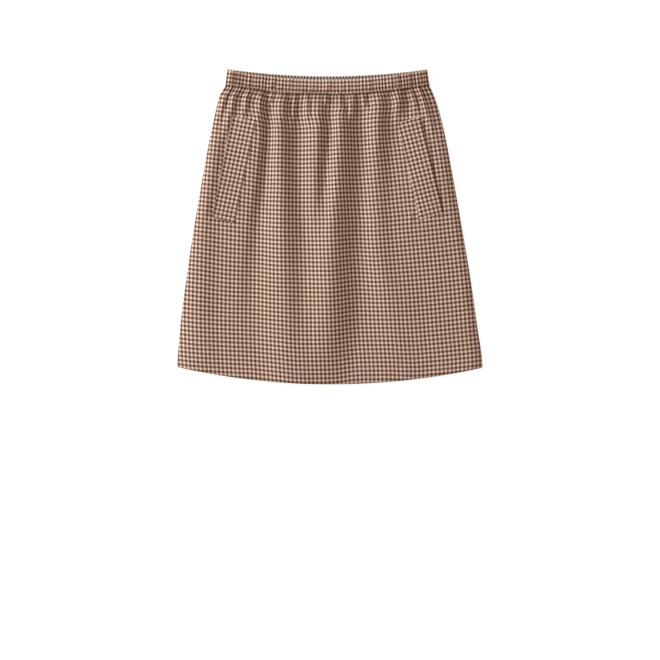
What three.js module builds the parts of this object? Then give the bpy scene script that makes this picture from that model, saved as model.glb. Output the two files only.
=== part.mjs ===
import * as THREE from 'three';

// A pull-on mini skirt laid flat with its back down. Millimetres, +Y towards the waist, +Z up.
// The origin is under the middle of its outline, on the surface that it lies on.

const CLOTH = 1.2; // wall of one layer of cloth, with its gathers
const GAP = 0.3; // between sewn pieces
const EDGE_WALL = 0.6; // what is left of the wall where it rounds over at the sides

// Where the waist seam and the hem end at the sides, and how far each sags in the middle.
const SEAM = { left: 226.5, right: 227, sag: 15.4 };
const HEM = { left: -224.5, right: -225.5, sag: 27 };

// The side edges: height on the skirt, then the left and right edge.
const SIDES = [
  { y: 227, left: -167, right: 158.5 },
  { y: 219, left: -171, right: 162 },
  { y: 209, left: -177, right: 166.5 },
  { y: 190, left: -181.5, right: 173 },
  { y: 155, left: -189.5, right: 182 },
  { y: 94, left: -201, right: 194 },
  { y: -2, left: -217.5, right: 211 },
  { y: -79, left: -229, right: 224 },
  { y: -156, left: -239, right: 235 },
  { y: -228, left: -244, right: 244 },
];

// Crest and valley lines of the front's folds, from left to right. Each gives its place across
// (x) and its height over the surface (z) at the stations, which run from the seam to the hem.
const STATIONS = [209, 155, 83, -21, -133, -253];
const FOLD_LINES = [
  { line: 'left roll', x: [-170, -178, -190, -203, -206, -203], z: [6, 8, 9.5, 9, 10, 10] },
  { line: 'left flat', x: [-150, -157, -166, -178, -179, -170], z: [6.5, 8.5, 8.5, 6.5, 7, 9] },
  { line: 'crest 1', x: [-111, -112, -120, -138, -150, -150], z: [11, 11.8, 11, 8, 7, 9] },
  { line: 'valley 1', x: [-101, -99, -104, -117, -125, -118], z: [5, 3.2, 3.2, 3.4, 5.5, 9.2] },
  { line: 'crest 2', x: [-77, -81, -80, -77, -70, -64], z: [16, 18, 16.5, 18.5, 18, 16.5] },
  { line: 'valley 2', x: [-53, -51, -50, -42, -42, -48], z: [5.5, 4.5, 4.5, 8.5, 13.5, 16.3] },
  { line: 'crest 3', x: [-19, -19, -23, -26, -29, -36], z: [14, 19, 15.5, 12.5, 15.4, 14.8] },
  { line: 'valley 3', x: [2, -2, -8, -13, -18, -24], z: [5.5, 8.5, 8.5, 17.5, 19, 13] },
  { line: 'crest 4', x: [15, 15, 11, 2, -3, -10], z: [9, 21, 20.5, 22.5, 21.5, 11] },
  { line: 'valley 4', x: [48, 49, 48, 47, 49, 40], z: [3.2, 3.2, 3.2, 3.2, 3.8, 3.8] },
  { line: 'crest 5', x: [78, 75, 73, 77, 98, 125], z: [12.5, 15, 12.5, 12, 11, 6.8] },
  { line: 'valley 5', x: [95, 96, 101, 102, 122, 144], z: [4.5, 3.5, 5.5, 8.5, 10, 6.5] },
  { line: 'right flat', x: [134, 144, 160, 152, 157, 176], z: [5.5, 6.5, 9, 8.5, 8, 7.5] },
  { line: 'right roll', x: [154, 160, 176, 192, 205, 218], z: [5.5, 6, 9, 7, 8, 7.5] },
];

// How far in from each side the cloth rounds over, at the stations.
const ROLL_WIDTH = { left: [14, 14, 14, 17, 30, 42], right: [14, 16, 18, 15, 17, 20] };

// Gathers under the waist seam, and creases between them: place at the seam, half width,
// height, reach down, and how far each moves to the right on its way down.
const GATHERS = [
  { x: -156.5, width: 5.5, height: 4.5, reach: 74, lean: -0.08 },
  { x: -143, width: 8, height: 6.5, reach: 95, lean: -0.06 },
  { x: -124.5, width: 7.5, height: 7, reach: 58, lean: -0.02 },
  { x: -104, width: 7.5, height: 4, reach: 72, lean: 0 },
  { x: -88, width: 5, height: 6, reach: 28, lean: 0 },
  { x: -61, width: 6, height: -3, reach: 58, lean: 0 },
  { x: -51.5, width: 6, height: 4, reach: 64, lean: -0.03 },
  { x: -34.5, width: 6.5, height: 5.5, reach: 62, lean: 0.03 },
  { x: -5, width: 5, height: 5, reach: 20, lean: 0 },
  { x: 24, width: 7, height: -4, reach: 44, lean: 0 },
  { x: 35.5, width: 7.5, height: 6, reach: 50, lean: -0.13 },
  { x: 51, width: 6, height: 4.5, reach: 32, lean: -0.05 },
  { x: 59, width: 6, height: -4, reach: 32, lean: -0.05 },
  { x: 105, width: 9, height: 7, reach: 62, lean: -0.22 },
  { x: 120.5, width: 8, height: -3.8, reach: 60, lean: -0.2 },
  { x: 127, width: 5.5, height: 5, reach: 46, lean: -0.03 },
  { x: 138, width: 6, height: 6.5, reach: 90, lean: 0.04 },
];

// The folds of the back rise into those of the front: place at the seam and at the hem,
// half width, height, and reach down from the seam.
const BACK_FOLDS = [
  { seam: -112, hem: -150, width: 12, height: 2.5, reach: 150 },
  { seam: -79, hem: -66, width: 16, height: 5, reach: 560 },
  { seam: -20, hem: -34, width: 14, height: 4, reach: 230 },
  { seam: 15, hem: -12, width: 18, height: 5.5, reach: 560 },
  { seam: 77, hem: 110, width: 14, height: 3, reach: 300 },
];

// The fine puckers of the elastic: mean length, height and reach down the front, and their
// height on the back. Two slow waves shift them along the seam and one varies their height.
const PUCKER = { length: 12, height: 1.2, reach: 9, backHeight: 0.6 };
const PUCKER_DRIFT = [
  { share: 0.34, per: 11, start: 0 },
  { share: 0.2, per: 5, start: 1 },
];
const PUCKER_FADE = { share: 0.25, per: 17, start: 2 };
const SEAM_LEVEL = 5; // the front's top at the waist seam, between puckers
const SEAM_RISE = 7; // how far below the seam the folds take to swell
const SEAM_PINCH = 0.75; // the share of a fold's height that the seam takes away
const LOWEST = 3; // the front's top where a crease presses it onto the back

// The two halves of the waistband: an elastic in a gathered casing.
const BAND = { height: 24, wall: 3, crown: 0.2, pucker: 0.8, bead: 0.8, lean: 3.2 };
const FRONT_BAND = {
  node: 'waistband_front',
  floor: BAND.wall + BAND.crown + GAP,
  pucker: BAND.pucker,
  top: { left: SEAM.left + BAND.height, right: SEAM.right + BAND.height, sag: SEAM.sag },
};
const BACK_BAND = {
  node: 'waistband_back',
  floor: 0,
  pucker: BAND.pucker * 0.4,
  top: { left: 252, right: 251.5, sag: 10.8 },
};

// Corners of the two pocket welts, which are narrow slanted patches. They lie just clear of
// the front, and the outer long edge, which is the pocket's mouth, stands a little proud.
const WELT_SEAT = 1.15;
const WELT_LIFT = 0.8;
const WELTS = [
  {
    node: 'pocket_welt_left',
    topOuter: [-156, 177],
    topInner: [-117.5, 168.5],
    bottomInner: [-152.5, 5],
    bottomOuter: [-187.5, 15],
  },
  {
    node: 'pocket_welt_right',
    topOuter: [145, 176],
    topInner: [108, 165.5],
    bottomInner: [143, 9.5],
    bottomOuter: [181.5, 22],
  },
];

// Rows of each panel from the seam (0) to the hem (1), close together where it gathers.
const FRONT_ROWS = [0, 0.012, 0.03, 0.055, 0.09, 0.135, 0.19, 0.26, 0.34, 0.43, 0.53, 0.64, 0.76, 0.88, 1];
const FRONT_COLUMNS = 108;
const BACK_ROWS = [0, 0.02, 0.05, 0.1, 0.19, 0.32, 0.48, 0.66, 0.84, 1];
const BACK_COLUMNS = 84;
const WELT_CELLS = { across: 12, along: 20 };

const FRONT_COLOUR = 0x9a7e6e; // brown and cream check, seen from afar
const BACK_COLOUR = 0x8a7062;

// ---- curves ------------------------------------------------------------------------------

const mix = (a, b, t) => a + (b - a) * t;
const clamp = (v, low, high) => Math.min(high, Math.max(low, v));
const arch = (u) => 1 - (2 * u - 1) ** 2;
const bump = (t) => (Math.abs(t) < 1 ? 0.5 + 0.5 * Math.cos(Math.PI * t) : 0);
const fade = (t) => (1 - clamp(t, 0, 1) ** 3) ** 2; // from one to nothing, slowly at first

// A smooth curve through points in rising order that never overshoots between them.
function throughPoints(xs, ys, x) {
  const last = xs.length - 1;
  if (x <= xs[0]) return ys[0];
  if (x >= xs[last]) return ys[last];
  let k = 0;
  while (x > xs[k + 1]) k += 1;
  const slope = (n) => (ys[n + 1] - ys[n]) / (xs[n + 1] - xs[n]);
  const tangent = (n) => {
    if (n === 0 || n === last) return 0;
    const [before, after] = [slope(n - 1), slope(n)];
    return before * after > 0 ? (2 * before * after) / (before + after) : 0;
  };
  const span = xs[k + 1] - xs[k];
  const t = (x - xs[k]) / span;
  const rise = (1 + 2 * t) * (1 - t) ** 2 * ys[k] + t * t * (3 - 2 * t) * ys[k + 1];
  return rise + span * t * (1 - t) * ((1 - t) * tangent(k) - t * tangent(k + 1));
}

// The same through stations that are listed from the waist down.
const downStations = (ys, values, y) => throughPoints([...ys].reverse(), [...values].reverse(), y);

const SIDE_HEIGHTS = SIDES.map((row) => row.y);
const sideEdge = (side, y) => downStations(SIDE_HEIGHTS, SIDES.map((row) => row[side]), y);
const across = (x, y) => (x - sideEdge('left', y)) / (sideEdge('right', y) - sideEdge('left', y));

// ---- the front's surface --------------------------------------------------------------------

// The height of the seam at a place across, and the place on a panel of column u and row v.
const seamHeight = (u) => mix(SEAM.left, SEAM.right, u) - SEAM.sag * arch(u);
function panelPlace(u, v) {
  const left = mix(SEAM.left, HEM.left, v);
  const right = mix(SEAM.right, HEM.right, v);
  const x = mix(sideEdge('left', left), sideEdge('right', right), u);
  return [x, mix(left, right, u) - mix(SEAM.sag, HEM.sag, v) * arch(u)];
}

// The uneven puckers along the waist, from -1 to 1.
const WAIST = SIDES[0];
const waistPlace = (u) => mix(WAIST.left, WAIST.right, u);
function pucker(u) {
  const s = waistPlace(u) - WAIST.left;
  const wave = ({ share, per, start }) => share * Math.sin(s / per + start);
  const turns = PUCKER_DRIFT.reduce((sum, drift) => sum + wave(drift), s / PUCKER.length);
  return Math.cos(2 * Math.PI * turns) * (1 - PUCKER_FADE.share + wave(PUCKER_FADE));
}

// The gathers follow the columns down from their place at the seam, but for their lean.
function gathers(u, down) {
  let height = PUCKER.height * pucker(u) * Math.exp(-down / PUCKER.reach);
  for (const gather of GATHERS) {
    const off = (waistPlace(u) - gather.x - gather.lean * down) / gather.width;
    height += gather.height * bump(off) * fade(down / gather.reach);
  }
  return height;
}

// One minus the square of what is left: steep at the side edge, level at the roll's width.
const roll = (inset, width) => 1 - (1 - clamp(inset / width, 0, 1)) ** 2;

function frontTop(x, y) {
  const u = clamp(across(x, y), 0, 1);
  const down = Math.max(0, seamHeight(u) - y);
  const lines = FOLD_LINES.map((row) => [
    downStations(STATIONS, row.x, y),
    downStations(STATIONS, row.z, y),
  ]);
  const fold = throughPoints(lines.map((p) => p[0]), lines.map((p) => p[1]), x);
  const swell = 1 - SEAM_PINCH * Math.exp(-down / SEAM_RISE);
  const level = Math.max(LOWEST, mix(SEAM_LEVEL, fold, swell) + gathers(u, down) * swell);
  const edge = CLOTH + GAP + EDGE_WALL;
  const leftRoll = roll(x - sideEdge('left', y), downStations(STATIONS, ROLL_WIDTH.left, y));
  const rightRoll = roll(sideEdge('right', y) - x, downStations(STATIONS, ROLL_WIDTH.right, y));
  return edge + (level - edge) * leftRoll * rightRoll;
}

// How much longer the wall is straight up than through the cloth, where the cloth slopes.
function steepness(x, y) {
  const step = CLOTH;
  const dx = (frontTop(x + step, y) - frontTop(x - step, y)) / (2 * step);
  const dy = (frontTop(x, y + step) - frontTop(x, y - step)) / (2 * step);
  return Math.hypot(1, dx, dy);
}

// ---- the back's surface ---------------------------------------------------------------------

// How far the back rises off the surface. It lies flat but for its folds and puckers, and
// the puckers die out towards the side seams.
function backRise(u, v) {
  const [x, y] = panelPlace(u, v);
  const down = seamHeight(u) - y;
  const upward = (1 + pucker(u)) / 2;
  let rise = PUCKER.backHeight * upward * arch(u) * Math.exp(-down / PUCKER.reach);
  for (const fold of BACK_FOLDS) {
    const off = (x - mix(fold.seam, fold.hem, v)) / fold.width;
    const swell = 1 - Math.exp(-down / SEAM_RISE);
    rise += fold.height * bump(off) * bump(down / fold.reach) * swell;
  }
  return rise;
}

// ---- solids ---------------------------------------------------------------------------------

function solid(name, points, faces, colour) {
  const geometry = new THREE.BufferGeometry();
  geometry.setAttribute('position', new THREE.Float32BufferAttribute(points.flat(), 3));
  geometry.setIndex(faces.flat());
  geometry.computeVertexNormals();
  const material = new THREE.MeshStandardMaterial({ color: colour, roughness: 0.9, metalness: 0 });
  const mesh = new THREE.Mesh(geometry, material);
  mesh.name = name;
  return mesh;
}

// A wall of cloth over a grid: top and bottom give the point at column i and row j, with
// columns running to +X and rows running to -Y.
function clothWall(name, columns, rows, top, bottom, colour) {
  const points = [];
  for (const side of [top, bottom]) {
    for (let j = 0; j <= rows; j += 1) {
      for (let i = 0; i <= columns; i += 1) points.push(side(i, j));
    }
  }
  const under = (columns + 1) * (rows + 1);
  const at = (i, j) => j * (columns + 1) + i;
  const faces = [];
  const quad = (a, b, c, d) => faces.push([a, b, c], [a, c, d]);
  for (let j = 0; j < rows; j += 1) {
    for (let i = 0; i < columns; i += 1) {
      const [a, b, c, d] = [at(i, j + 1), at(i + 1, j + 1), at(i + 1, j), at(i, j)];
      quad(a, b, c, d);
      quad(under + d, under + c, under + b, under + a);
    }
  }
  for (let i = 0; i < columns; i += 1) {
    quad(at(i, 0), at(i + 1, 0), under + at(i + 1, 0), under + at(i, 0));
    quad(at(i + 1, rows), at(i, rows), under + at(i, rows), under + at(i + 1, rows));
  }
  for (let j = 0; j < rows; j += 1) {
    quad(at(0, j + 1), at(0, j), under + at(0, j), under + at(0, j + 1));
    quad(at(columns, j), at(columns, j + 1), under + at(columns, j + 1), under + at(columns, j));
  }
  return solid(name, points, faces, colour);
}

// A closed section carried along columns, with its ends capped. The section runs along its
// underside away from the waist seam and back over its top.
function carried(name, columns, section, colour) {
  const points = [];
  for (let i = 0; i <= columns; i += 1) points.push(...section(i / columns));
  const ring = section(0).length;
  const faces = [];
  for (let i = 0; i < columns; i += 1) {
    for (let k = 0; k < ring; k += 1) {
      const [a, b] = [i * ring + k, i * ring + ((k + 1) % ring)];
      faces.push([a, b + ring, a + ring], [a, b, b + ring]);
    }
  }
  const end = columns * ring;
  for (let k = 1; k < ring - 1; k += 1) {
    faces.push([0, k + 1, k], [end, end + k, end + k + 1]);
  }
  return solid(name, points, faces, colour);
}

// ---- the sewn pieces ------------------------------------------------------------------------

// A panel's grid point, which stops half a gap short of the waist seam.
function gridPlace(i, columns, v) {
  const [x, y] = panelPlace(i / columns, v);
  return [x, v === 0 ? y - GAP / 2 : y];
}

function frontPanel() {
  const top = (i, j) => {
    const [x, y] = gridPlace(i, FRONT_COLUMNS, FRONT_ROWS[j]);
    return [x, y, frontTop(x, y)];
  };
  const bottom = (i, j) => {
    const [x, y, z] = top(i, j);
    return [x, y, Math.max(CLOTH + GAP, z - CLOTH * steepness(x, y))];
  };
  return clothWall('front_panel', FRONT_COLUMNS, FRONT_ROWS.length - 1, top, bottom, FRONT_COLOUR);
}

function backPanel() {
  const place = (i, j) => gridPlace(i, BACK_COLUMNS, BACK_ROWS[j]);
  const rise = (i, j) => backRise(i / BACK_COLUMNS, BACK_ROWS[j]);
  const roundedUp = (i) => (i === 0 || i === BACK_COLUMNS ? CLOTH - EDGE_WALL : 0);
  const under = (i, j) => [...place(i, j), Math.max(roundedUp(i), rise(i, j))];
  const top = (i, j) => [...place(i, j), CLOTH + rise(i, j)];
  return clothWall('back_panel', BACK_COLUMNS, BACK_ROWS.length - 1, top, under, BACK_COLOUR);
}

// A waistband half from its seam up to its top edge. Its section is a flat oblong with
// beaded edges, and puckers sink its outer face between them. Its ends are rounded over.
function waistband(band, columns, colour) {
  const section = (u) => {
    const low = seamHeight(u) + GAP / 2;
    const high = mix(band.top.left, band.top.right, u) - band.top.sag * arch(u);
    const lean = mix(BAND.lean, -BAND.lean, u);
    const at = (s, z) => [waistPlace(u) + lean * s, mix(low, high, s), band.floor + z];
    const end = u === 0 || u === 1;
    const outer = end ? BAND.wall - BAND.bead : BAND.wall;
    const sunk = end ? 0 : band.pucker * (pucker(u) - 1);
    const inset = (2 * BAND.bead) / (high - low);
    return [
      at(0, BAND.bead / 2),
      at(inset, 0),
      at(1 - inset, 0),
      at(1, BAND.bead / 2),
      at(1, outer - BAND.bead + sunk / 2),
      at(1 - inset, outer + sunk),
      at(0.5, outer + BAND.crown + sunk),
      at(inset, outer + sunk),
      at(0, outer - BAND.bead + sunk / 2),
    ];
  };
  return carried(band.node, columns, section, colour);
}

// A pocket welt, made from the front's points under it, moved out.
const between = (a, b, t) => a.map((value, k) => mix(value, b[k], t));
function pocketWelt(welt) {
  const { across: cells, along: rows } = WELT_CELLS;
  const outerIsRight = welt.topOuter[0] > welt.topInner[0];
  const place = (i, j) => {
    const s = outerIsRight ? 1 - i / cells : i / cells;
    const t = j / rows;
    const outer = between(welt.topOuter, welt.bottomOuter, t);
    const inner = between(welt.topInner, welt.bottomInner, t);
    const [x, y] = between(outer, inner, s);
    return [x, y, frontTop(x, y) + WELT_SEAT + WELT_LIFT * (1 - s) ** 2 * bump(2 * t - 1)];
  };
  const top = (i, j) => {
    const [x, y, z] = place(i, j);
    return [x, y, z + CLOTH];
  };
  return clothWall(welt.node, cells, rows, top, place, FRONT_COLOUR);
}

const skirt = new THREE.Group();
skirt.name = 'mini_skirt';
skirt.add(frontPanel());
skirt.add(backPanel());
skirt.add(waistband(FRONT_BAND, FRONT_COLUMNS, FRONT_COLOUR));
skirt.add(waistband(BACK_BAND, BACK_COLUMNS, BACK_COLOUR));
for (const welt of WELTS) skirt.add(pocketWelt(welt));

export default skirt;
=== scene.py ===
import math

import bmesh
import bpy
import numpy as np
from mathutils import Matrix, Vector


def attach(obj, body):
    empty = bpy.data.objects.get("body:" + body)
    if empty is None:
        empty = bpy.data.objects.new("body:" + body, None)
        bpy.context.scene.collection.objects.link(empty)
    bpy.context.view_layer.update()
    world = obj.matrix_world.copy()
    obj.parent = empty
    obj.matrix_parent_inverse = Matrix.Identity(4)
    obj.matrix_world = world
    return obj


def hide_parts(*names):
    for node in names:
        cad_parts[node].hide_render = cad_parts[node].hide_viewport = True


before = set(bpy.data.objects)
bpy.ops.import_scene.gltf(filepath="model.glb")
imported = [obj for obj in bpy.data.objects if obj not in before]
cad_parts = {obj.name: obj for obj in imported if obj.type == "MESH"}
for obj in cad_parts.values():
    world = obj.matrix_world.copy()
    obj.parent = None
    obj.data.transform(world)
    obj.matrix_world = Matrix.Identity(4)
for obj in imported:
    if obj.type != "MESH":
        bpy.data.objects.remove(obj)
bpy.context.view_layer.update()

# A pull-on mini skirt in a small brown and cream check, laid flat with its back down.
# Its sizes are in millimetres until a piece becomes a mesh. +Y runs towards the waist.
MM = 0.001

# ---- sizes of the laid skirt ------------------------------------------------------------------

CLOTH = 1.2
GAP = 0.3
EDGE_WALL = 0.6
SHELL = 0.8  # thickness of the cloth that shows

SEAM = dict(left=226.5, right=227, sag=15.4)
HEM = dict(left=-224.5, right=-225.5, sag=27)

# The side edges: height on the skirt, then the left and right edge.
SIDES = [
    dict(y=227, left=-167, right=158.5),
    dict(y=219, left=-171, right=162),
    dict(y=209, left=-177, right=166.5),
    dict(y=190, left=-181.5, right=173),
    dict(y=155, left=-189.5, right=182),
    dict(y=94, left=-201, right=194),
    dict(y=-2, left=-217.5, right=211),
    dict(y=-79, left=-229, right=224),
    dict(y=-156, left=-239, right=235),
    dict(y=-228, left=-244, right=244),
]

# Crest and valley lines of the front's folds, from left to right. Each gives its place across
# (x) and its height over the surface (z) at the stations, which run from the seam to the hem.
STATIONS = [209, 155, 83, -21, -133, -253]
FOLD_LINES = [
    dict(line="left roll", x=[-170, -178, -190, -203, -206, -203], z=[6, 8, 9.5, 9, 10, 10]),
    dict(line="left flat", x=[-150, -157, -166, -178, -179, -170], z=[6.5, 8.5, 8.5, 6.5, 7, 9]),
    dict(line="crest 1", x=[-111, -112, -120, -138, -150, -150], z=[11, 11.8, 11, 8, 7, 9]),
    dict(line="valley 1", x=[-101, -99, -104, -117, -125, -118], z=[5, 3.2, 3.2, 3.4, 5.5, 9.2]),
    dict(line="crest 2", x=[-77, -81, -80, -77, -70, -64], z=[16, 18, 16.5, 18.5, 18, 16.5]),
    dict(line="valley 2", x=[-53, -51, -50, -42, -42, -48], z=[5.5, 4.5, 4.5, 8.5, 13.5, 16.3]),
    dict(line="crest 3", x=[-19, -19, -23, -26, -29, -36], z=[14, 19, 15.5, 12.5, 15.4, 14.8]),
    dict(line="valley 3", x=[2, -2, -8, -13, -18, -24], z=[5.5, 8.5, 8.5, 17.5, 19, 13]),
    dict(line="crest 4", x=[15, 15, 11, 2, -3, -10], z=[9, 21, 20.5, 22.5, 21.5, 11]),
    dict(line="valley 4", x=[48, 49, 48, 47, 49, 40], z=[3.2, 3.2, 3.2, 3.2, 3.8, 3.8]),
    dict(line="crest 5", x=[78, 75, 73, 77, 98, 125], z=[12.5, 15, 12.5, 12, 11, 6.8]),
    dict(line="valley 5", x=[95, 96, 101, 102, 122, 144], z=[4.5, 3.5, 5.5, 8.5, 10, 6.5]),
    dict(line="right flat", x=[134, 144, 160, 152, 157, 176], z=[5.5, 6.5, 9, 8.5, 8, 7.5]),
    dict(line="right roll", x=[154, 160, 176, 192, 205, 218], z=[5.5, 6, 9, 7, 8, 7.5]),
]
ROLL_WIDTH = dict(left=[14, 14, 14, 17, 30, 42], right=[14, 16, 18, 15, 17, 20])

# Gathers under the waist seam, and creases between them: place at the seam, half width,
# height, reach down, and how far each moves to the right on its way down.
GATHERS = [
    dict(x=-156.5, width=5.5, height=4.5, reach=74, lean=-0.08),
    dict(x=-143, width=8, height=6.5, reach=95, lean=-0.06),
    dict(x=-124.5, width=7.5, height=7, reach=58, lean=-0.02),
    dict(x=-104, width=7.5, height=4, reach=72, lean=0),
    dict(x=-88, width=5, height=6, reach=28, lean=0),
    dict(x=-61, width=6, height=-3, reach=58, lean=0),
    dict(x=-51.5, width=6, height=4, reach=64, lean=-0.03),
    dict(x=-34.5, width=6.5, height=5.5, reach=62, lean=0.03),
    dict(x=-5, width=5, height=5, reach=20, lean=0),
    dict(x=24, width=7, height=-4, reach=44, lean=0),
    dict(x=35.5, width=7.5, height=6, reach=50, lean=-0.13),
    dict(x=51, width=6, height=4.5, reach=32, lean=-0.05),
    dict(x=59, width=6, height=-4, reach=32, lean=-0.05),
    dict(x=105, width=9, height=7, reach=62, lean=-0.22),
    dict(x=120.5, width=8, height=-3.8, reach=60, lean=-0.2),
    dict(x=127, width=5.5, height=5, reach=46, lean=-0.03),
    dict(x=138, width=6, height=6.5, reach=90, lean=0.04),
]

# Short creases round the lower ends of the pockets: where each starts and ends.
SHORT_CREASES = [
    dict(start=(132, 38), end=(127, -8), width=5, height=1.6),
    dict(start=(-179, 9), end=(-182, -4), width=3.5, height=1),
    dict(start=(-193, 14), end=(-196, 0), width=3.5, height=1),
]

# The folds of the back rise into those of the front.
BACK_FOLDS = [
    dict(seam=-112, hem=-150, width=12, height=2.5, reach=150),
    dict(seam=-79, hem=-66, width=16, height=5, reach=560),
    dict(seam=-20, hem=-34, width=14, height=4, reach=230),
    dict(seam=15, hem=-12, width=18, height=5.5, reach=560),
    dict(seam=77, hem=110, width=14, height=3, reach=300),
]

# The soft puckers that the gathering makes on both panels. Their spacing drifts and they fade.
PUCKER = dict(length=12, height=1.2, reach=9, back_height=0.6)
PUCKER_DRIFT = [dict(share=0.34, per=11, start=0), dict(share=0.2, per=5, start=1)]
PUCKER_FADE = dict(share=0.25, per=17, start=2)

# The tiny pleats that the elastic draws the cloth into, closer and deeper at the sides.
CRIMP = dict(length=5.6, height=0.85, reach=13)
CRIMP_DRIFT = [dict(share=0.3, per=13, start=0), dict(share=0.22, per=7.3, start=2)]
CRIMP_DEPTH = dict(least=0.35, varies=0.2, per=9.1, start=1, sides=1.6, left=1.6, right=0.8)

# At the waist seam the front is pressed towards one level, and its folds rise from it.
SEAM_LEVEL = 5
SEAM_RISE = 7
SEAM_PINCH = 0.75
LOWEST = 3  # the front's top where a crease presses it onto the back
# The last of the cloth turns down into the seam, and on under the waistband.
SEAM_TUCK = dict(left=0.8, right=1.3, reach=5, under=2.2)
DEEPER_OVER = dict(left=(0.2, 0.45), right=(1.05, 0.8))  # where across the seam lies deeper

# Painted shade for creases that are finer than the mesh: it darkens the cloth's colour in the
# seam's ditch, in the cloth under it, in the valleys of the tiny pleats, and in the hollow beside
# the left pocket's mouth.
DITCH = dict(left=0.1, right=0.36, off=1.5, reach=2)
UNDER_SEAM = dict(dark=0.08, reach=22)
PLEATS = dict(dark=0.4, front=9, band=5)
MOUTH = dict(dark=0.34, off=7.5, reach=5, opens=(0.1, 0.3), ends=(1.03, 0.97))

# Painted light and shade on the waistband: painted shade by its seam and towards its ends, and
# painted light where it is smooth: in its middle and at its left end.
BAND_LIGHT_AND_SHADE = dict(
    seam=0.14, seam_reach=7, ends=0.1, middle=-0.2, middle_rises=(6, 24), left_end=-0.38
)

# The waistband's own puckers: place, half width, height by its seam and by its top edge, and
# how far each leans to the right between the two.
BAND_PUCKERS = [
    dict(x=-160, width=5, low=1.6, high=1.6, lean=0),
    dict(x=-147, width=5, low=1.4, high=1.4, lean=0),
    dict(x=-140, width=6, low=0, high=0.7, lean=0),
    dict(x=-132, width=6, low=0.9, high=0.9, lean=1),
    dict(x=-118, width=5, low=1.2, high=1.2, lean=0),
    dict(x=-109.5, width=9, low=2, high=2.4, lean=0),
    dict(x=-94, width=7, low=2.2, high=2, lean=5),
    dict(x=-89, width=8, low=0, high=1, lean=0),
    dict(x=-85, width=7, low=-0.9, high=0, lean=0),
    dict(x=-79, width=6, low=1.8, high=1.2, lean=6),
    dict(x=-66, width=8, low=0, high=1.1, lean=0),
    dict(x=-52, width=7, low=1, high=0.6, lean=0),
    dict(x=-43, width=9, low=1.9, high=1.2, lean=2),
    dict(x=-30, width=4.5, low=1.6, high=0.4, lean=1),
    dict(x=-24, width=8, low=0.9, high=1, lean=0),
    dict(x=-4, width=9, low=1.8, high=1.8, lean=6),
    dict(x=20, width=5, low=1.2, high=0.2, lean=1),
    dict(x=29.5, width=4, low=1, high=0.2, lean=0),
    dict(x=41, width=4.5, low=0.7, high=0.2, lean=0),
    dict(x=51, width=3.5, low=1, high=0.6, lean=0),
    dict(x=65, width=8, low=1.1, high=0.8, lean=0),
    dict(x=77, width=10, low=2.3, high=2, lean=0),
    dict(x=86, width=7, low=1.2, high=1, lean=-1),
    dict(x=97.5, width=5, low=1.5, high=1.2, lean=0),
    dict(x=109, width=5.5, low=1.9, high=2.4, lean=-1),
    dict(x=119, width=4.5, low=1.2, high=1.4, lean=0),
    dict(x=130, width=5, low=1.3, high=2, lean=0),
    dict(x=143, width=5, low=0.9, high=1.6, lean=0),
    dict(x=152, width=4, low=1.2, high=1.2, lean=0),
]

BAND = dict(height=24, wall=3, crown=0.2, lean=3.2, roll=2.4, roll_reach=3.6, end_round=36)
BAND_SECTION = dict(along=0.75, thick=0.35, end_thick=0.35)  # how square its section is
ROW_STRETCH = 1.05  # the rows of the check lie this much closer together on the casing
FRONT_BAND = dict(
    floor=BAND["wall"] + BAND["crown"] + GAP,
    pucker=0.8,
    scallop=1.3,
    row=6,
    top=dict(left=250.5, right=251, sag=15.4),
)
BACK_BAND = dict(
    floor=0,
    pucker=0.25,
    scallop=0,
    row=3.7,
    top=dict(left=252, right=251.5, sag=10.8),
)

WELT_EDGE_LIGHT_REACH = dict(mouth=2.8, inner=1.3, top=1, bottom=1)
WELT_SEAT = 0.3
WELT_LIFT = 0.4
WELT_SHELL = 0.7
# Each welt's corners, how far its check leans, where its check starts, and how much painted
# shade darkens its edges or, where a fold of it catches the light, painted light makes them
# paler than the cloth.
WELTS = dict(
    pocket_welt_left=dict(
        top_outer=(-156, 177),
        top_inner=(-117.5, 168.5),
        bottom_inner=(-152.5, 5),
        bottom_outer=(-187.5, 15),
        grain=-11.9,
        phase=(2, 0.2),
        edge_light_and_shade=dict(mouth=0.25, inner=-0.5, top=0, bottom=0),
    ),
    pocket_welt_right=dict(
        top_outer=(145, 176),
        top_inner=(108, 165.5),
        bottom_inner=(143, 9.5),
        bottom_outer=(181.5, 22),
        grain=14,
        phase=(3.8, 2.4),
        edge_light_and_shade=dict(mouth=0.45, inner=0.1, top=-0.3, bottom=-0.15),
    ),
)

# The cloth as it was cut, flat: a panel's width at the seam and at the hem.
CUT = dict(seam=413, hem=496, length=463)
GRAIN_TURN = math.radians(1.5)  # how far the check's columns lean
# How much lower the check's rows hang at places across the skirt, from the waist to the hem.
ROW_LEVELS = [20, 120, 195, 290, 410]
ROW_DROPS = [
    dict(across=0.03, lower=[0, 0, 0, -1, 0.5]),
    dict(across=0.15, lower=[0, 0, 0, 0.5, -1.5]),
    dict(across=0.24, lower=[2.5, 2.5, 1.5, -0.5, -2.5]),
    dict(across=0.32, lower=[2, 2, 2.5, 1.5, -1]),
    dict(across=0.4, lower=[0, 1.5, 1.5, 1, 1.5]),
    dict(across=0.5, lower=[-0.5, 1, 1.5, 1.5, 1]),
    dict(across=0.6, lower=[0, 0, -0.5, -2.5, -3]),
    dict(across=0.68, lower=[0, 0, 1, 0.5, -2]),
    dict(across=0.8, lower=[0.5, -1.5, 0, 1, 2]),
    dict(across=0.94, lower=[0.5, 0, 0, 1.5, 2]),
]
GATHERED_EVENLY = 20  # how far below the seam the gathers begin to draw the check together

# How many cells each piece of cloth has across and down.
CELLS = dict(front=(400, 116), back=(240, 110), band_front=(600, 40), band_back=(320, 32))
WELT_CELLS = (34, 130)
ROWS_CLOSER = 1.5  # the panels' rows lie closer together towards the waist seam

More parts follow.
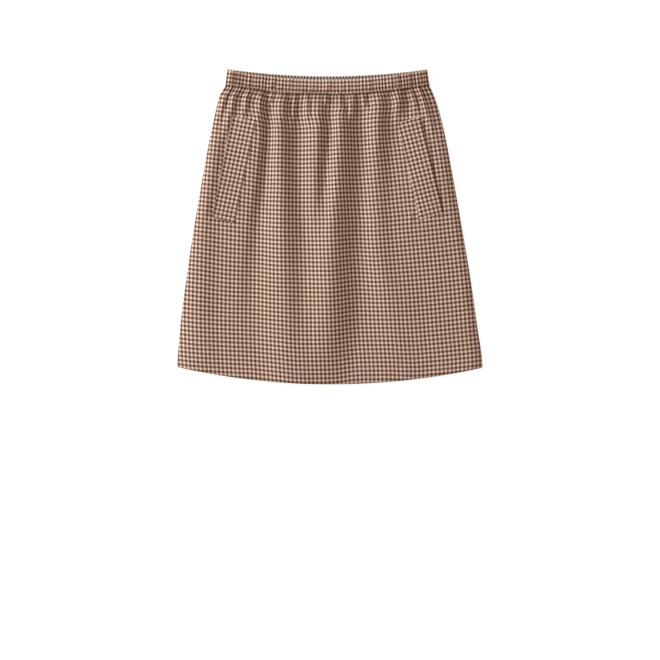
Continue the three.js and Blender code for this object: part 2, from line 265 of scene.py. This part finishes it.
WELT_STITCH = dict(length=2.2, space=1.1, inset=1.6, edge_inset=1, from_mouth=0.02, height=0.7)
WELT_THREAD = dict(ends=0.26, edge=0.24)  # half the thread's width
WAIST_STITCH = dict(length=2.3, space=0.6, thread=0.42, height=0.3, row=0.009, ends=0.01)

# ---- curves -----------------------------------------------------------------------------------


def mix(a, b, t):
    return a + (b - a) * t


def arch(u):
    return 1 - (2 * u - 1) ** 2


def bump(t):
    return np.where(np.abs(t) < 1, 0.5 + 0.5 * np.cos(np.pi * np.clip(t, -1, 1)), 0)


def fade(t):
    """From one to nothing, slowly at first."""
    return (1 - np.clip(t, 0, 1) ** 3) ** 2


def smooth(low, high, x):
    t = np.clip((x - low) / (high - low), 0, 1)
    return t * t * (3 - 2 * t)


def through_points(xs, ys, x):
    """A smooth curve through points in rising order that never overshoots between them. The
    points run along the last axis, for every x at once."""
    xs, ys = (np.broadcast_to(np.asarray(a, float), x.shape + (np.shape(a)[-1],)) for a in (xs, ys))
    slope = np.diff(ys) / np.diff(xs)
    before, after = slope[..., :-1], slope[..., 1:]
    same_way = before * after > 0
    inner = np.where(same_way, 2 * before * after / np.where(same_way, before + after, 1), 0)
    tangent = np.concatenate([np.zeros(x.shape + (1,)), inner, np.zeros(x.shape + (1,))], -1)
    x = np.clip(x, xs[..., 0], xs[..., -1])
    k = np.clip((x[..., None] > xs).sum(-1) - 1, 0, xs.shape[-1] - 2)[..., None]

    def at(values, n):
        return np.take_along_axis(values, n, -1)[..., 0]

    span = at(xs, k + 1) - at(xs, k)
    t = (x - at(xs, k)) / span
    rise = (1 + 2 * t) * (1 - t) ** 2 * at(ys, k) + t * t * (3 - 2 * t) * at(ys, k + 1)
    return rise + span * t * (1 - t) * ((1 - t) * at(tangent, k) - t * at(tangent, k + 1))


def down_stations(heights, values, y):
    return through_points(heights[::-1], values[::-1], y)


def side_edge(side, y):
    return down_stations([row["y"] for row in SIDES], [row[side] for row in SIDES], y)


def seam_height(u):
    return mix(SEAM["left"], SEAM["right"], u) - SEAM["sag"] * arch(u)


def panel_place(u, v):
    left = mix(SEAM["left"], HEM["left"], v)
    right = mix(SEAM["right"], HEM["right"], v)
    x = mix(side_edge("left", left), side_edge("right", right), u)
    return x, mix(left, right, u) - mix(SEAM["sag"], HEM["sag"], v) * arch(u)


def waist_place(u):
    return mix(SIDES[0]["left"], SIDES[0]["right"], u)


def pucker(u):
    s = waist_place(u) - SIDES[0]["left"]

    def wave(w):
        return w["share"] * np.sin(s / w["per"] + w["start"])

    turns = s / PUCKER["length"] + sum(wave(drift) for drift in PUCKER_DRIFT)
    return np.cos(2 * np.pi * turns) * (1 - PUCKER_FADE["share"] + wave(PUCKER_FADE))


# ---- the front's surface ------------------------------------------------------------------------


def gathers(u, down):
    height = PUCKER["height"] * pucker(u) * np.exp(-down / PUCKER["reach"])
    for g in GATHERS:
        off = (waist_place(u) - g["x"] - g["lean"] * down) / g["width"]
        height = height + g["height"] * bump(off) * fade(down / g["reach"])
    return height


def crimp(u):
    s = waist_place(u)
    turns = s / CRIMP["length"]
    for drift in CRIMP_DRIFT:
        turns = turns + drift["share"] * np.sin(s / drift["per"] + drift["start"])
    d = CRIMP_DEPTH
    varied = d["least"] + d["varies"] * np.sin(s / d["per"] + d["start"])
    depth = varied + d["sides"] * (1 - arch(u)) ** mix(d["left"], d["right"], u)
    return CRIMP["height"] * depth * np.cos(2 * np.pi * turns)


def deeper(u):
    return smooth(*DEEPER_OVER["left"], u) * smooth(*DEEPER_OVER["right"], u)


# Painted shade in the valleys of the tiny pleats, fading away from the seam.
def pleat_valley_shade(u, from_seam, reach):
    return PLEATS["dark"] * np.clip(-crimp(u) / CRIMP["height"], 0, 1) * np.exp(-from_seam / reach)


def roll(inset, width):
    return 1 - (1 - np.clip(inset / width, 0, 1)) ** 2


def front_top(x, y):
    left, right = side_edge("left", y), side_edge("right", y)
    u = np.clip((x - left) / (right - left), 0, 1)
    down = np.maximum(0, seam_height(u) - y)
    places = np.stack([down_stations(STATIONS, row["x"], y) for row in FOLD_LINES], -1)
    heights = np.stack([down_stations(STATIONS, row["z"], y) for row in FOLD_LINES], -1)
    fold = through_points(places, heights, x)
    swell = 1 - SEAM_PINCH * np.exp(-down / SEAM_RISE)
    level = np.maximum(LOWEST, mix(SEAM_LEVEL, fold, swell) + gathers(u, down) * swell)
    edge = CLOTH + GAP + EDGE_WALL
    left_roll = roll(x - left, down_stations(STATIONS, ROLL_WIDTH["left"], y))
    right_roll = roll(right - x, down_stations(STATIONS, ROLL_WIDTH["right"], y))
    return edge + (level - edge) * left_roll * right_roll


# ---- the back's surface -------------------------------------------------------------------------


def back_rise(u, v):
    x, y = panel_place(u, v)
    down = seam_height(u) - y
    upward = (1 + pucker(u)) / 2
    rise = PUCKER["back_height"] * upward * arch(u) * np.exp(-down / PUCKER["reach"])
    for fold in BACK_FOLDS:
        off = (x - mix(fold["seam"], fold["hem"], v)) / fold["width"]
        swell = 1 - np.exp(-down / SEAM_RISE)
        rise = rise + fold["height"] * bump(off) * bump(down / fold["reach"]) * swell
    return rise


# ---- making cloth -------------------------------------------------------------------------------


def add(name, mesh):
    piece = bpy.data.objects.new(name, mesh)
    bpy.context.scene.collection.objects.link(piece)
    return piece


def lay_cloth(name, columns, rows, place, cut, painted_light_and_shade=None):
    """A fine grid of cloth. place(u, v) gives where each point lies, cut(u, v, points) where
    it was on the flat cloth, and painted_light_and_shade(u, v, points) how much painted shade
    darkens its colour in creases that are finer than the grid or, where it is negative, how much
    painted light makes it paler. u runs to +X and v away from the waist."""
    grid = bmesh.new()
    bmesh.ops.create_grid(grid, x_segments=columns, y_segments=rows, size=1)
    mesh = bpy.data.meshes.new(name)
    grid.to_mesh(mesh)
    grid.free()
    corners = np.empty(len(mesh.vertices) * 3)
    mesh.vertices.foreach_get("co", corners)
    corners = corners.reshape(-1, 3)
    order = np.lexsort((corners[:, 0], -corners[:, 1].round(5)))
    shape = (rows + 1, columns + 1)
    u = ((corners[order, 0] + 1) / 2).reshape(shape)
    v = ((1 - corners[order, 1]) / 2).reshape(shape)
    points = np.stack(np.broadcast_arrays(*place(u, v)), -1)
    flat = np.stack(np.broadcast_arrays(*cut(u, v, points)), -1)
    corners[order] = points.reshape(-1, 3) * MM
    mesh.vertices.foreach_set("co", corners.ravel())
    at_corner = np.empty((len(corners), 2))
    at_corner[order] = flat.reshape(-1, 2) * MM
    loops = np.empty(len(mesh.loops), int)
    mesh.loops.foreach_get("vertex_index", loops)
    mesh.uv_layers.new(name="cut")
    mesh.uv_layers["cut"].data.foreach_set("uv", at_corner[loops].ravel())
    if painted_light_and_shade:
        sunk = np.empty(len(corners))
        sunk[order] = np.broadcast_to(painted_light_and_shade(u, v, points), shape).ravel()
        mesh.attributes.new("painted_light_and_shade", "FLOAT", "POINT").data.foreach_set("value", sunk)
    mesh.polygons.foreach_set("use_smooth", np.ones(len(mesh.polygons), bool))
    mesh.update()
    return add(name, mesh)


def along(points, axis, parts):
    """The distance along the rows (axis 1) or columns (axis 0) of a grid, from its start."""
    steps = np.linalg.norm(np.diff(points[..., parts], axis=axis), axis=-1)
    start = np.zeros_like(steps[:, :1] if axis else steps[:1])
    return np.concatenate([start, np.cumsum(steps, axis)], axis)


def panel_cut(u, v, points):
    """The check hangs from the seam. Each row of it holds the cut's width at that height, and
    the rows next to the seam share it out as the ones below them do."""
    reach = along(points, 1, [0, 2])
    share = reach / reach[:, -1:]
    even = np.argmax(v[:, 0] * CUT["length"] > GATHERED_EVENLY)
    share[:even] = share[even]
    width = mix(CUT["seam"], CUT["hem"], v)
    y = points[..., 1]
    out = (share - 0.5) * width + y * math.tan(GRAIN_TURN)
    down = seam_height(u) - y
    drops = np.stack([through_points(ROW_LEVELS, row["lower"], down) for row in ROW_DROPS], -1)
    return out, through_points([row["across"] for row in ROW_DROPS], drops, u) - down


def thicken(piece, thickness, offset=-1):
    wall = piece.modifiers.new("wall", "SOLIDIFY")
    wall.thickness = thickness * MM
    wall.offset = offset
    wall.use_even_offset = True
    return piece


# ---- cloth material -----------------------------------------------------------------------------


def socket(tree, kind, inputs=None, out=0, **settings):
    """Adds a node and gives its output. Inputs are other outputs, or plain values."""
    made = tree.nodes.new(kind)
    for key, value in settings.items():
        setattr(made, key, value)
    for key, value in (inputs or {}).items():
        if isinstance(value, bpy.types.NodeSocket):
            tree.links.new(value, made.inputs[key])
        else:
            made.inputs[key].default_value = value
    return made.outputs[out]


def sums(tree, operation, *values):
    return socket(tree, "ShaderNodeMath", dict(enumerate(values)), operation=operation)


def check_weave():
    """A woven check: stripes of brown yarn in the warp and in the weft. Both together are dark,
    one alone is the middle brown, and none is cream."""
    tree = bpy.data.node_groups.new("check_weave", "ShaderNodeTree")
    for name, kind in [
        ("Place", "NodeSocketVector"),
        ("Across", "NodeSocketFloat"),
        ("Down", "NodeSocketFloat"),
        ("Yarn", "NodeSocketFloat"),
        ("Painted light and shade", "NodeSocketFloat"),
        ("Cream", "NodeSocketColor"),
        ("Middle", "NodeSocketColor"),
        ("Dark", "NodeSocketColor"),
    ]:
        tree.interface.new_socket(name, in_out="INPUT", socket_type=kind)
    for name, kind in [
        ("Colour", "NodeSocketColor"),
        ("Height", "NodeSocketFloat"),
        ("Crumple", "NodeSocketFloat"),
    ]:
        tree.interface.new_socket(name, in_out="OUTPUT", socket_type=kind)
    given = tree.nodes.new("NodeGroupInput").outputs
    result = tree.nodes.new("NodeGroupOutput").inputs

    slub = socket(
        tree,
        "ShaderNodeTexNoise",
        {"Vector": given["Place"], "Scale": 420.0, "Detail": 2.0},
        out="Fac",
    )
    apart = tree.nodes.new("ShaderNodeSeparateXYZ")
    tree.links.new(given["Place"], apart.inputs[0])
    stripes, yarns = [], []
    for axis, repeat in ((0, "Across"), (1, "Down")):
        turns = sums(tree, "DIVIDE", apart.outputs[axis], given[repeat])
        turns = sums(tree, "MULTIPLY_ADD", slub, 0.1, turns)
        wave = sums(tree, "ABSOLUTE", sums(tree, "SUBTRACT", sums(tree, "FRACT", turns), 0.5))
        stripes.append(
            socket(
                tree,
                "ShaderNodeMapRange",
                {"Value": wave, "From Min": 0.21, "From Max": 0.29},
                interpolation_type="SMOOTHSTEP",
            )
        )
        half_turns = sums(tree, "DIVIDE", apart.outputs[axis], given["Yarn"])
        yarns.append(sums(tree, "SINE", sums(tree, "MULTIPLY", half_turns, math.pi)))
    over = sums(tree, "MULTIPLY", yarns[0], yarns[1])
    warp_shows = sums(tree, "MULTIPLY_ADD", over, 0.35, 0.5)
    brown = socket(
        tree,
        "ShaderNodeMix",
        {"Factor": warp_shows, "A": stripes[1], "B": stripes[0]},
    )
    light_half = sums(tree, "MULTIPLY", brown, 2.0)
    light_half.node.use_clamp = True
    dark_half = sums(tree, "MULTIPLY_ADD", brown, 2.0, -1.0)
    dark_half.node.use_clamp = True
    colour = socket(
        tree,
        "ShaderNodeMix",
        {"Factor": light_half, 6: given["Cream"], 7: given["Middle"]},
        out=2,
        data_type="RGBA",
    )
    colour = socket(
        tree,
        "ShaderNodeMix",
        {"Factor": dark_half, 6: colour, 7: given["Dark"]},
        out=2,
        data_type="RGBA",
    )
    uneven = socket(
        tree,
        "ShaderNodeTexNoise",
        {"Vector": given["Place"], "Scale": 14.0, "Detail": 3.0},
        out="Fac",
    )
    shade = sums(tree, "MULTIPLY_ADD", uneven, 0.12, 0.94)
    shade = sums(tree, "MULTIPLY_ADD", slub, 0.1, sums(tree, "SUBTRACT", shade, 0.05))
    shaded = socket(tree, "ShaderNodeVectorMath", {0: colour, 1: shade}, operation="MULTIPLY")
    # Where painted shade darkens the colour it also makes it warmer, as light that has crossed a
    # crease is, and where painted light makes it paler, cooler.
    unshaded_share = sums(tree, "SUBTRACT", 1.0, given["Painted light and shade"])
    shade_tint = socket(
        tree, "ShaderNodeVectorMath", {0: unshaded_share, 1: (0.8, 1.1, 1.2)}, operation="POWER"
    )
    shaded = socket(tree, "ShaderNodeVectorMath", {0: shaded, 1: shade_tint}, operation="MULTIPLY")
    tree.links.new(shaded, result["Colour"])
    yarn_round = sums(tree, "ABSOLUTE", over)
    height = sums(tree, "MULTIPLY_ADD", slub, 0.6, sums(tree, "MULTIPLY", yarn_round, 0.8))
    tree.links.new(height, result["Height"])
    drawn_out = socket(
        tree, "ShaderNodeVectorMath", {0: given["Place"], 1: (1, 0.3, 1)}, operation="MULTIPLY"
    )
    crumple = socket(
        tree,
        "ShaderNodeTexNoise",
        {"Vector": drawn_out, "Scale": 70.0, "Detail": 3.0, "Roughness": 0.6},
        out="Fac",
    )
    tree.links.new(crumple, result["Crumple"])
    return tree


def linear(red, green, blue):
    """Screen red, green and blue from 0 to 255, as the light that they stand for."""
    parts = (c / 255 for c in (red, green, blue))
    return (*(c / 12.92 if c <= 0.04045 else ((c + 0.055) / 1.055) ** 2.4 for c in parts), 1)


WEAVE = check_weave()
CHECK = dict(across=6.6, down=6.85, yarn=0.42)


def check_cloth(name, cream, middle, dark):
    material = bpy.data.materials.new(name)
    material.use_nodes = True
    tree = material.node_tree
    skin = tree.nodes["Principled BSDF"]
    skin.inputs["Roughness"].default_value = 0.88
    skin.inputs["Specular IOR Level"].default_value = 0.18
    skin.inputs["Sheen Weight"].default_value = 0.05
    skin.inputs["Sheen Roughness"].default_value = 0.5
    place = socket(tree, "ShaderNodeUVMap", uv_map="cut")
    woven = tree.nodes.new("ShaderNodeGroup")
    woven.node_tree = WEAVE
    tree.links.new(place, woven.inputs["Place"])
    # Painted light and shade that each mesh carries, for creases and folded edges finer than it.
    painted_light_and_shade = socket(tree, "ShaderNodeAttribute", out="Fac", attribute_name="painted_light_and_shade")
    tree.links.new(painted_light_and_shade, woven.inputs["Painted light and shade"])
    for key in ("across", "down", "yarn"):
        woven.inputs[key.capitalize()].default_value = CHECK[key] * MM
    woven.inputs["Cream"].default_value = linear(*cream)
    woven.inputs["Middle"].default_value = linear(*middle)
    woven.inputs["Dark"].default_value = linear(*dark)
    tree.links.new(woven.outputs["Colour"], skin.inputs["Base Color"])
    crumpled = socket(
        tree,
        "ShaderNodeBump",
        {"Height": woven.outputs["Crumple"], "Strength": 1.0, "Distance": 0.0012},
    )
    relief = socket(
        tree,
        "ShaderNodeBump",
        {
            "Height": woven.outputs["Height"],
            "Normal": crumpled,
            "Strength": 0.35,
            "Distance": 0.00015,
        },
    )
    tree.links.new(relief, skin.inputs["Normal"])
    return material


OUTSIDE = check_cloth("check_cotton", (223, 198, 182), (148, 114, 94), (81, 46, 28))
INSIDE = check_cloth("check_cotton_inside", (220, 202, 190), (152, 133, 121), (62, 46, 38))


def plain_thread(name, colour):
    material = bpy.data.materials.new(name)
    material.use_nodes = True
    tree = material.node_tree
    skin = tree.nodes["Principled BSDF"]
    skin.inputs["Roughness"].default_value = 0.7
    skin.inputs["Sheen Weight"].default_value = 0.2
    place = socket(tree, "ShaderNodeTexCoord", out="Object")
    twist = socket(
        tree,
        "ShaderNodeTexWave",
        {"Vector": place, "Scale": 900.0, "Distortion": 2.0},
        out="Fac",
        bands_direction="DIAGONAL",
    )
    tint = socket(
        tree,
        "ShaderNodeMix",
        {
            "Factor": twist,
            6: linear(*colour),
            7: linear(*(c * 0.82 for c in colour)),
        },
        out=2,
        data_type="RGBA",
    )
    tree.links.new(tint, skin.inputs["Base Color"])
    relief = socket(
        tree, "ShaderNodeBump", {"Height": twist, "Strength": 0.5, "Distance": 0.0001}
    )
    tree.links.new(relief, skin.inputs["Normal"])
    return material


THREAD = plain_thread("cream_thread", (226, 200, 182))
# The waist seam's thread is real, and its dark brown also paints the shade in the seam's ditch.
DITCH_THREAD = plain_thread("dark_thread", (92, 60, 44))
SEAM_THREAD = plain_thread("brown_thread", (150, 118, 98))

# ---- the panels ---------------------------------------------------------------------------------


def seam_first(w):
    return w**ROWS_CLOSER


def short_creases(x, y):
    height = 0
    for crease in SHORT_CREASES:
        (x0, y0), (x1, y1) = crease["start"], crease["end"]
        down = (y0 - y) / (y0 - y1)
        off = (x - mix(x0, x1, down)) / crease["width"]
        height = height + crease["height"] * bump(off) * bump(2 * down - 1)
    return height


def front_place(u, w):
    v = seam_first(w)
    x, y = panel_place(u, v)
    down = seam_height(u) - y
    depth = mix(SEAM_TUCK["left"], SEAM_TUCK["right"], deeper(u))
    tuck = depth * np.exp(-down / SEAM_TUCK["reach"])
    pleats = crimp(u) * np.exp(-down / CRIMP["reach"])
    z = front_top(x, y) + short_creases(x, y) - tuck + pleats
    return x, y + SEAM_TUCK["under"] * (v == 0), np.maximum(z, CLOTH + GAP + EDGE_WALL)


def back_place(u, w):
    v = seam_first(w)
    x, y = panel_place(u, v)
    y = np.where(v == 0, y - GAP / 2, y)
    return x, y, CLOTH + back_rise(u, v)


def cut_panel(u, w, points):
    return panel_cut(u, seam_first(w), points)


def shaded_front(u, w, points):
    """Painted shade in the fine creases of the seam, and in the hollow beside the left pocket's
    mouth.
    """
    from_seam = seam_height(u) - points[..., 1]
    off = (from_seam - DITCH["off"]) / DITCH["reach"]
    ditch = mix(DITCH["left"], DITCH["right"], deeper(u)) * np.exp(-(off**2))
    under = UNDER_SEAM["dark"] * np.exp(-from_seam / UNDER_SEAM["reach"])
    dark = pleat_valley_shade(u, from_seam, PLEATS["front"]) + ditch + under
    (x0, y0), (x1, y1) = (WELTS["pocket_welt_left"][end] for end in ("top_outer", "bottom_outer"))
    down = (y0 - points[..., 1]) / (y0 - y1)
    off = mix(x0, x1, down) - points[..., 0]
    mouth_shade = MOUTH["dark"] * np.exp(-(((off - MOUTH["off"]) / MOUTH["reach"]) ** 2))
    return dark + mouth_shade * smooth(*MOUTH["opens"], down) * smooth(*MOUTH["ends"], down)


front = lay_cloth("front_cloth", *CELLS["front"], front_place, cut_panel, shaded_front)
thicken(front, SHELL)
back = lay_cloth("back_cloth", *CELLS["back"], back_place, cut_panel)
thicken(back, CLOTH)

# ---- the waistband ------------------------------------------------------------------------------


def band_puckers(u, s):
    height = crimp(u) - 0.6
    for p in BAND_PUCKERS:
        off = (waist_place(u) - p["x"] - p["lean"] * (s - 0.5)) / p["width"]
        height = height + mix(p["low"], p["high"], smooth(0.25, 0.75, s)) * bump(off)
    return height


def waistband(name, band, columns, ring):
    """A casing round the elastic: a flat tube, closed on itself and capped at both ends."""
    half = BAND["wall"] / 2

    def place(u, v):
        turn = 2 * np.pi * v
        s = 0.5 - 0.5 * np.sign(np.cos(turn)) * np.abs(np.cos(turn)) ** BAND_SECTION["along"]
        crest = np.clip(crimp(u) / CRIMP["height"], 0, 1)
        low = seam_height(u) + GAP / 2 + band["scallop"] * crest
        high = mix(band["top"]["left"], band["top"]["right"], u) - band["top"]["sag"] * arch(u)
        x = waist_place(u) + mix(BAND["lean"], -BAND["lean"], u) * s
        end = np.sin(np.pi / 2 * np.minimum(1, np.minimum(u, 1 - u) * BAND["end_round"]))
        square = np.sign(np.sin(turn)) * np.abs(np.sin(turn)) ** BAND_SECTION["thick"]
        thick = half * square * mix(BAND_SECTION["end_thick"], 1, end)
        outer = np.sin(turn) > 0
        sewn_down = BAND["roll"] * np.exp(-s * BAND["height"] / BAND["roll_reach"])
        puckers = band["pucker"] * band_puckers(u, s) * smooth(1, 0.85, s) * end
        crown = BAND["crown"] * arch(s)
        z = band["floor"] + half + thick + np.where(outer, puckers + crown - sewn_down, 0)
        z = np.where(outer & (s < 0.6), np.maximum(z, band["floor"] + half), z)
        return x, mix(low, high, s), z

    def cut(u, v, points):
        reach = along(points, 1, [0, 2])[ring // 4]
        round_it = along(points, 0, [1, 2])
        from_top = round_it - round_it[ring // 2]
        return (reach / reach[-1] - 0.5) * CUT["seam"], (from_top + band["row"]) * ROW_STRETCH

    # Painted shade by the seam, in the pleats' valleys and towards the ends, and painted light in
    # the middle and at the left end.
    def painted_light_and_shade(u, v, points):
        up = points[..., 1] - seam_height(u)
        painted_amount = BAND_LIGHT_AND_SHADE
        ends = painted_amount["ends"] * (1 - arch(u)) ** 0.7 * smooth(0, 0.03, np.minimum(u, 1 - u))
        middle = painted_amount["middle"] * arch(u) ** 2 * smooth(*painted_amount["middle_rises"], up)
        left_end = painted_amount["left_end"] * smooth(0.05, 0.02, u)
        seam = painted_amount["seam"] * np.exp(-up / painted_amount["seam_reach"])
        return seam + pleat_valley_shade(u, up, PLEATS["band"]) + ends + middle + left_end

    piece = lay_cloth(name, columns, ring, place, cut, painted_light_and_shade)
    closed = bmesh.new()
    closed.from_mesh(piece.data)
    bmesh.ops.remove_doubles(closed, verts=closed.verts, dist=1e-7)
    bmesh.ops.holes_fill(closed, edges=[e for e in closed.edges if e.is_boundary])
    bmesh.ops.recalc_face_normals(closed, faces=closed.faces)
    closed.to_mesh(piece.data)
    closed.free()
    return piece


band_front = waistband("waistband_front_casing", FRONT_BAND, *CELLS["band_front"])
band_back = waistband("waistband_back_casing", BACK_BAND, *CELLS["band_back"])

# ---- the pocket welts ---------------------------------------------------------------------------


def welt_place(welt, s, t):
    """s runs from the outer edge, which is the pocket's mouth, to the inner one; t down."""

    def between(a, b, at):
        return tuple(mix(p, q, at) for p, q in zip(welt[a], welt[b]))

    outer = between("top_outer", "bottom_outer", t)
    inner = between("top_inner", "bottom_inner", t)
    x, y = mix(outer[0], inner[0], s), mix(outer[1], inner[1], s)
    lift = WELT_SEAT + WELT_LIFT * (1 - s) ** 2 * bump(2 * t - 1)
    return x, y, front_top(x, y) + lift


def pocket_welt(name, welt):
    outer_right = welt["top_outer"][0] > welt["top_inner"][0]
    width = math.dist(welt["top_outer"], welt["top_inner"])
    length = math.dist(welt["top_outer"], welt["bottom_outer"])

    def place(u, v):
        x, y, z = welt_place(welt, 1 - u if outer_right else u, v)
        from_inner = (u if outer_right else 1 - u) * width
        sewn_edge = np.minimum(from_inner, np.minimum(v, 1 - v) * length)
        return x, y, z + WELT_SHELL * mix(0.25, 1, smooth(0, 2.5, sewn_edge))

    def cut(u, v, points):
        turn = math.radians(welt["grain"])
        across, up = (math.cos(turn), math.sin(turn)), (-math.sin(turn), math.cos(turn))
        off = points[..., :2] - np.array(welt["top_inner" if outer_right else "top_outer"])
        return tuple(off @ np.array(way) + at for way, at in zip((across, up), welt["phase"]))

    # Painted shade along the edges that are darker, such as the mouth, and painted light along
    # those whose folds catch the light.
    def painted_edge_light_and_shade(u, v, points):
        s = 1 - u if outer_right else u
        inset = dict(mouth=s * width, inner=(1 - s) * width)
        inset.update(top=v * length, bottom=(1 - v) * length)
        return sum(
            painted_amount * np.exp(-((inset[edge] / WELT_EDGE_LIGHT_REACH[edge]) ** 2))
            for edge, painted_amount in welt["edge_light_and_shade"].items()
        )

    return thicken(lay_cloth(name, *WELT_CELLS, place, cut, painted_edge_light_and_shade), WELT_SHELL * 0.6)


welts = {name: pocket_welt(name + "_cloth", welt) for name, welt in WELTS.items()}

# ---- sewing -------------------------------------------------------------------------------------


def stitch_line(seam, points, stitch, space, thread):
    """Adds stitches to a bmesh along a line of points, each a small plump ellipsoid."""
    points = np.asarray(points)
    steps = np.linalg.norm(np.diff(points, axis=0), axis=1)
    reach = np.concatenate([[0], np.cumsum(steps)])
    for start in np.arange(space / 2, reach[-1] - stitch, stitch + space):
        ends = [
            Vector([float(np.interp(at, reach, points[:, k])) for k in range(3)])
            for at in (start, start + stitch)
        ]
        middle = (ends[0] + ends[1]) / 2
        run = ends[1] - ends[0]
        turn = run.to_track_quat("X", "Z").to_matrix().to_4x4()
        size = Matrix.Diagonal((run.length / 2, thread, thread * 0.8, 1))
        bmesh.ops.create_uvsphere(
            seam,
            u_segments=6,
            v_segments=4,
            radius=1,
            matrix=Matrix.Translation(middle) @ turn @ size,
        )


def sewn(name, lines, stitch, space, thread, material):
    seam = bmesh.new()
    for points in lines:
        stitch_line(seam, points, stitch, space, thread)
    bmesh.ops.scale(seam, vec=(MM, MM, MM), verts=seam.verts)
    mesh = bpy.data.meshes.new(name)
    seam.to_mesh(mesh)
    seam.free()
    mesh.polygons.foreach_set("use_smooth", np.ones(len(mesh.polygons), bool))
    mesh.materials.append(material)
    return add(name, mesh)


def welt_stitches(name, welt):
    """Both short ends and the inner long edge are sewn down. The right pocket's inner edge is
    sewn in the cloth's brown."""
    width = math.dist(welt["top_outer"], welt["top_inner"])
    length = math.dist(welt["top_outer"], welt["bottom_outer"])
    stitch, space, inset = (WELT_STITCH[key] for key in ("length", "space", "inset"))

    def line(s0, t0, s1, t1):
        at = np.linspace(0, 1, 60)
        x, y, z = welt_place(welt, mix(s0, s1, at), mix(t0, t1, at))
        return np.stack([x, y, z + WELT_SHELL * WELT_STITCH["height"]], -1)

    mouth, inner = WELT_STITCH["from_mouth"], 1 - inset / width
    top, bottom = inset / length, 1 - inset / length
    edge = 1 - WELT_STITCH["edge_inset"] / width
    edge_thread = THREAD if welt["edge_light_and_shade"]["inner"] < 0 else SEAM_THREAD
    ends = [line(mouth, top, inner, top), line(inner, bottom, mouth, bottom)]
    long_edge = [line(edge, top, edge, bottom)]
    return [
        sewn(name + "_end_stitches", ends, stitch, space, WELT_THREAD["ends"], THREAD),
        sewn(name + "_edge_stitches", long_edge, stitch, space, WELT_THREAD["edge"], edge_thread),
    ]


stitches = {name: welt_stitches(name, welt) for name, welt in WELTS.items()}


def waist_stitches():
    """The seam that joins the gathered front to its waistband, in the ditch between them; its
    dark thread also stands for the shade in the ditch.
    """
    stitch = WAIST_STITCH
    u = np.linspace(stitch["ends"], 1 - stitch["ends"], 900)
    x, y, z = front_place(u, np.full_like(u, stitch["row"]))
    line = np.stack([x, y, z + stitch["height"]], -1)
    sizes = stitch["length"], stitch["space"], stitch["thread"]
    return sewn("waist_stitches", [line], *sizes, DITCH_THREAD)


waist_seam = waist_stitches()

# ---- finishes and what rides on what ------------------------------------------------------------

for piece, node, slot in [
    (front, "front_panel", "check_cotton"),
    (back, "back_panel", "check_cotton_back"),
    (band_front, "waistband_front", "check_cotton"),
    (band_back, "waistband_back", "check_cotton_back"),
    (welts["pocket_welt_left"], "pocket_welt_left", "check_cotton"),
    (welts["pocket_welt_right"], "pocket_welt_right", "check_cotton"),
]:
    piece.data.materials.append(OUTSIDE)
    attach(piece, "root")
    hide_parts(node)
for line in [waist_seam, *sum(stitches.values(), [])]:
    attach(line, "root")

band_back.data.materials.append(INSIDE)
for face in band_back.data.polygons:
    face.material_index = 1 if face.normal.z > 0.2 else 0
back.data.materials.append(INSIDE)
for face in back.data.polygons:
    face.material_index = 1
back.modifiers["wall"].material_offset = -1

# ---- floor, light and camera --------------------------------------------------------------------

flat_floor = bmesh.new()
bmesh.ops.create_grid(flat_floor, x_segments=1, y_segments=1, size=6)
bmesh.ops.translate(flat_floor, vec=(0, 0, -0.0004), verts=flat_floor.verts)
floor_mesh = bpy.data.meshes.new("floor")
flat_floor.to_mesh(floor_mesh)
flat_floor.free()
floor = add("floor", floor_mesh)
floor_paint = bpy.data.materials.new("floor_paint")
floor_paint.use_nodes = True
paint = floor_paint.node_tree.nodes["Principled BSDF"]
paint.inputs["Base Color"].default_value = (0.15, 0.15, 0.15, 1)
paint.inputs["Roughness"].default_value = 1
paint.inputs["Specular IOR Level"].default_value = 0
paint.inputs["Emission Color"].default_value = (1, 1, 1, 1)
paint.inputs["Emission Strength"].default_value = 0.9
floor_mesh.materials.append(floor_paint)

scene = bpy.context.scene
scene.view_settings.view_transform = "Standard"
world = bpy.data.worlds.new("soft_room")
world.use_nodes = True
world.node_tree.nodes["Background"].inputs["Color"].default_value = (1, 0.901, 0.851, 1)
world.node_tree.nodes["Background"].inputs["Strength"].default_value = 0.577
scene.world = world


def soft_light(name, azimuth, height, distance, size, strength, colour):
    """A large square lamp that faces the skirt, from an angle round it and one above it."""
    lamp = bpy.data.lights.new(name, "AREA")
    lamp.shape = "SQUARE"
    lamp.size = size
    lamp.energy = strength * math.pi**2 * distance**2
    lamp.color = colour
    light = bpy.data.objects.new(name, lamp)
    turn, rise = math.radians(azimuth), math.radians(height)
    way = Vector((math.cos(turn) * math.cos(rise), math.sin(turn) * math.cos(rise), math.sin(rise)))
    light.location = way * distance
    light.rotation_euler = way.to_track_quat("Z", "Y").to_euler()
    scene.collection.objects.link(light)


soft_light(
    "window",
    azimuth=166,
    height=28,
    distance=5,
    size=1.8,
    strength=1.043,
    colour=(0.861, 0.957, 1),
)

lens = bpy.data.cameras.new("above")
lens.lens = 120
lens.sensor_width = 36
camera = bpy.data.objects.new("above", lens)
FRAME_WIDTH = 1.056
camera.location = (0, -0.1652, FRAME_WIDTH * lens.lens / lens.sensor_width)
scene.collection.objects.link(camera)
scene.camera = camera
